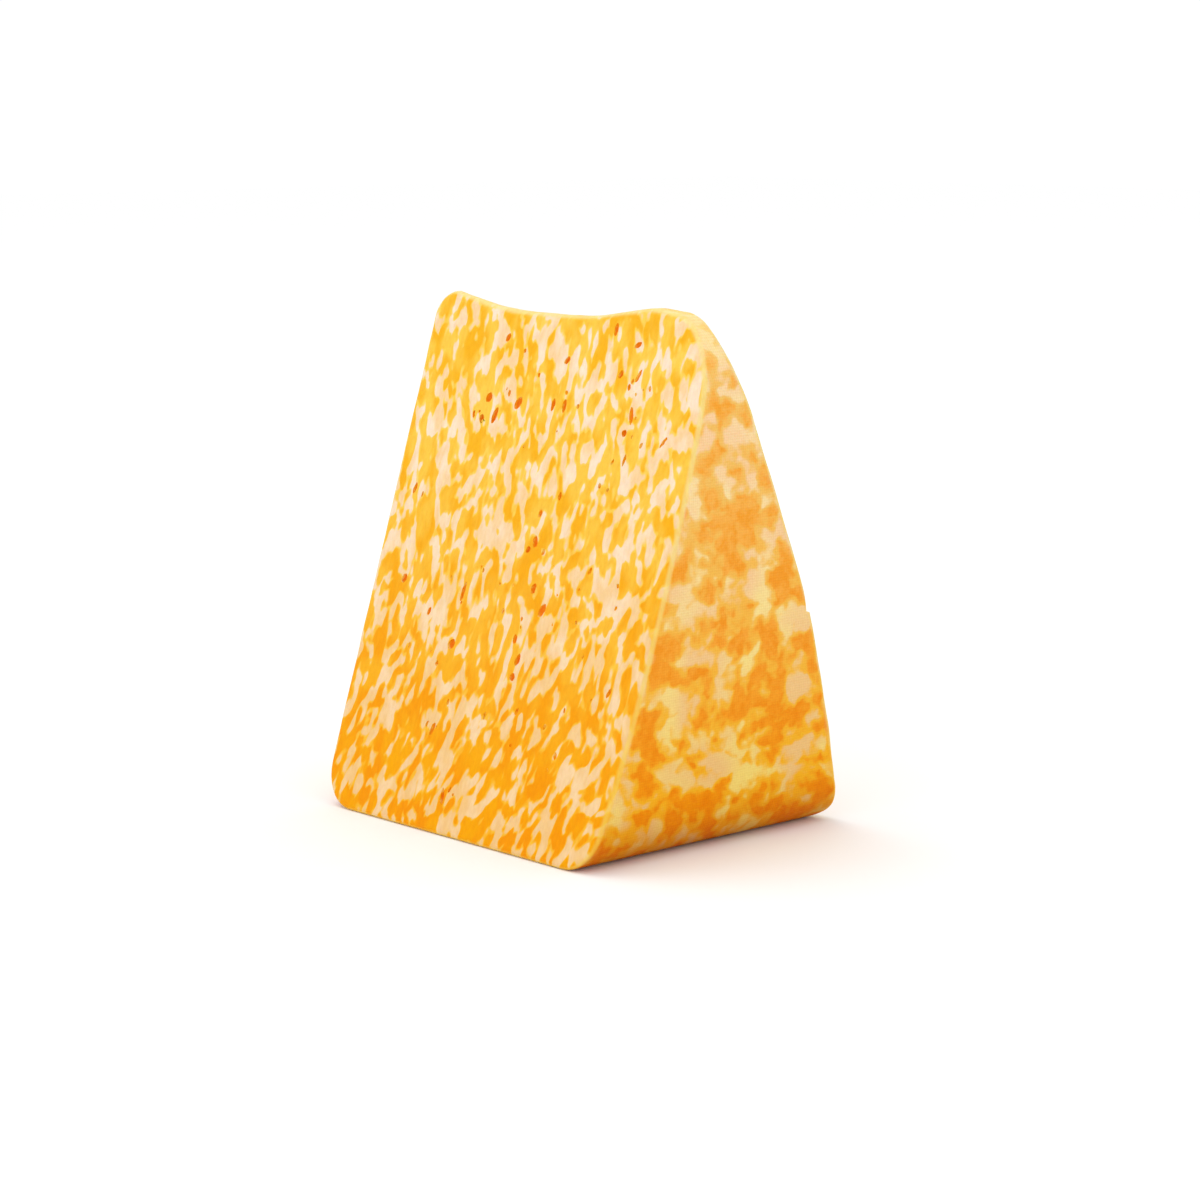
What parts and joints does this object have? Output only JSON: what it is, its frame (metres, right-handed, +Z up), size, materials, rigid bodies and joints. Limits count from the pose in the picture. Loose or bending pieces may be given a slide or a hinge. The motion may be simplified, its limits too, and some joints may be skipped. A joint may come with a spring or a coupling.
{
  "type": "marbled cheese wedge",
  "caption": "Tall wedge of orange and cream marbled semi-hard cheese cut from a wheel, standing on its wide end.",
  "frame": {"origin": "centre of the bounding box in plan, at the flat base that the wedge stands on", "axes": "+Z up from the base to the narrow ridge, +Y through the thickness of the wheel towards its far flat side, +X from the left cut to the right cut"},
  "size_m": [0.0822, 0.1032, 0.1257],
  "materials": {
    "cheese": "moist satin cheese, orange curd marbled with cream"
  },
  "bodies": {
    "root": {"cheese": "cheese"}
  },
  "joints": []
}
